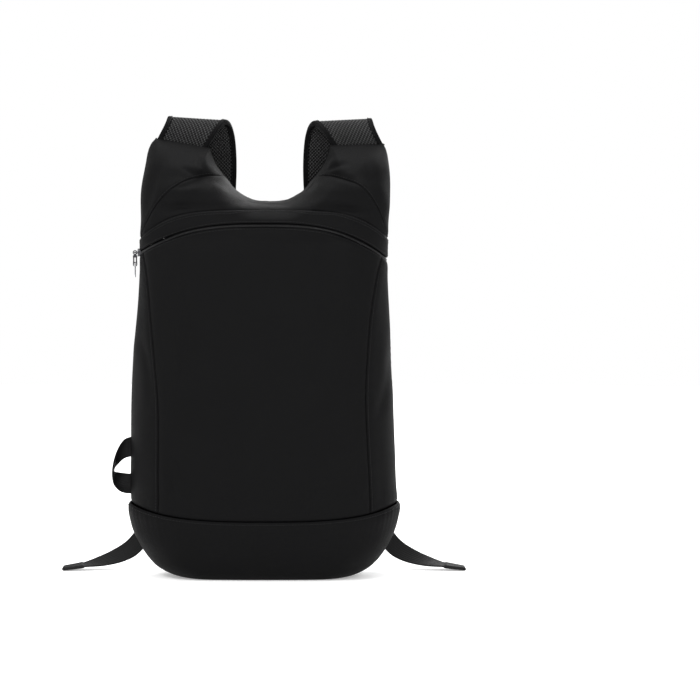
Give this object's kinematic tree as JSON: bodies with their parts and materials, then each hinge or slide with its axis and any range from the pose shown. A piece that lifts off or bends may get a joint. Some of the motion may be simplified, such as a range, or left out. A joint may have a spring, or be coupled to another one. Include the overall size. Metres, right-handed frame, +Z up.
{
  "type": "sports backpack",
  "caption": "Light foldable sports backpack in black cloth: rounded base, side gussets, arched top zip with hanging pull, mesh shoulder straps, buckles and free webbing tails.",
  "frame": {"origin": "on the floor under the middle of the base panel, at the height of its flat rest face", "axes": "+Z up; -Y is the front of the bag, +Y the back with the straps; +X to the right as seen from the front"},
  "size_m": [0.4122, 0.1366, 0.4625],
  "materials": {
    "cloth": "plain-woven black polyester with a faint sheen, soft folds and stitched seams",
    "mesh": "black spacer mesh with open diamond holes",
    "tape": "black ribbed webbing and binding tape",
    "plastic": "black moulded plastic, fine texture",
    "dark_metal": "dark lacquered die-cast metal, worn at its edges",
    "silver": "bright drawn wire"
  },
  "bodies": {
    "bag": {"front_panel": "cloth", "side_panel_left": "cloth", "side_panel_right": "cloth", "back_panel": "cloth", "base_panel": "cloth", "yoke": "cloth", "shoulder_left": "cloth", "shoulder_right": "cloth", "zip_flap": "cloth", "zip_coil": "tape", "zip_slider": "dark_metal", "strap_left": "mesh", "strap_right": "mesh", "binding_left_inner": "tape", "binding_left_outer": "tape", "binding_right_inner": "tape", "binding_right_outer": "tape", "tab_left": "tape", "tab_right": "tape", "buckle_left": "plastic", "buckle_right": "plastic", "webbing_left": "tape", "webbing_right": "tape", "side_loop": "tape"},
    "pull": {"zip_pull": "dark_metal", "pull_loop": "silver"}
  },
  "joints": [
    {"name": "pull_swing", "type": "hinge", "parent": "bag", "child": "pull", "pos_m": [-0.12879, 0.00161, 0.32441], "axis": [0, 1, 0], "range_deg": [0, 160]}
  ]
}
